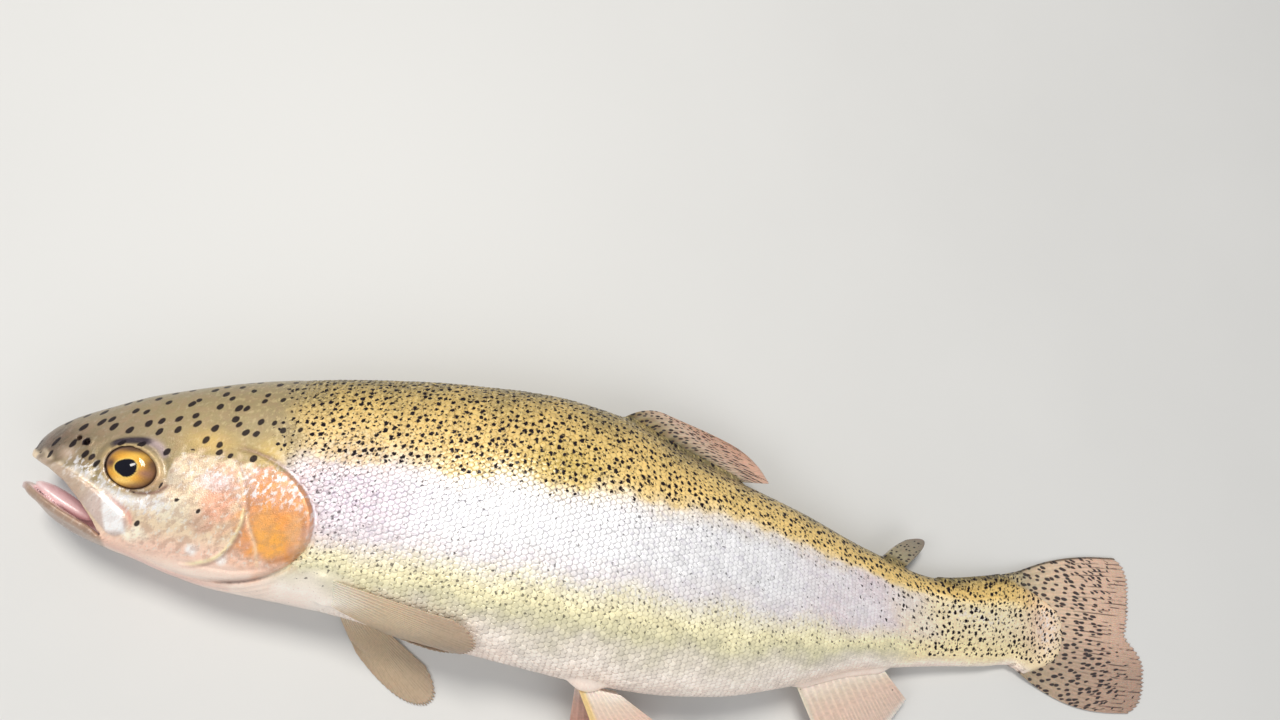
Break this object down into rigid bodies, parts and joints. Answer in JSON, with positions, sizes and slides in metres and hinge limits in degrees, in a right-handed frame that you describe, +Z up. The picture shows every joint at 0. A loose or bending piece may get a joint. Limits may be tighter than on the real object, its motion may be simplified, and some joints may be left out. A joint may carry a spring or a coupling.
{
  "type": "rainbow trout",
  "caption": "Life-size still model of a rainbow trout lying on its right flank, with spotted olive back, silver flank, folded dorsal fin and spread tail",
  "frame": {"origin": "centre of the bottom of the bounding box, on the floor the fish lies on", "axes": "+X runs from the snout to the tail, +Y from the belly to the back, +Z up, out of the left flank"},
  "size_m": [0.3436, 0.103, 0.0412],
  "materials": {
    "head": "wet skin, olive crown and silver cheek, small dark spots",
    "lower_jaw": "wet pale pink skin",
    "upper_jaw_plate_left": "wet pale tan and silver",
    "upper_jaw_plate_right": "wet pale tan and silver",
    "tongue": "wet pink",
    "eye_left": "golden iris, black pupil, clear cornea",
    "eye_right": "golden iris, black pupil, clear cornea",
    "gill_cover_left": "wet, pink and orange with a silver sheen",
    "gill_cover_right": "wet, pink and orange with a silver sheen",
    "trunk_front": "wet scales, olive back with dark spots, silver flank, white belly",
    "trunk_rear": "wet scales, olive back with dark spots, silver flank, white belly",
    "tail_stalk": "wet scales, olive with dark spots",
    "dorsal_fin": "translucent grey-brown with rows of dark spots",
    "adipose_fin": "fleshy, olive with a dark edge",
    "tail_fin": "translucent brown with rows of dark spots along the rays",
    "anal_fin": "translucent cream and pink",
    "pectoral_fin_left": "translucent olive and cream",
    "pectoral_fin_right": "translucent olive and cream",
    "pelvic_fin_left": "translucent cream and orange-pink",
    "pelvic_fin_right": "translucent cream and orange-pink"
  },
  "bodies": {
    "root": {"head": "head", "lower_jaw": "lower_jaw", "upper_jaw_plate_left": "upper_jaw_plate_left", "upper_jaw_plate_right": "upper_jaw_plate_right", "tongue": "tongue", "eye_left": "eye_left", "eye_right": "eye_right", "gill_cover_left": "gill_cover_left", "gill_cover_right": "gill_cover_right", "trunk_front": "trunk_front", "trunk_rear": "trunk_rear", "tail_stalk": "tail_stalk", "dorsal_fin": "dorsal_fin", "adipose_fin": "adipose_fin", "tail_fin": "tail_fin", "anal_fin": "anal_fin", "pectoral_fin_left": "pectoral_fin_left", "pectoral_fin_right": "pectoral_fin_right", "pelvic_fin_left": "pelvic_fin_left", "pelvic_fin_right": "pelvic_fin_right"}
  },
  "joints": []
}
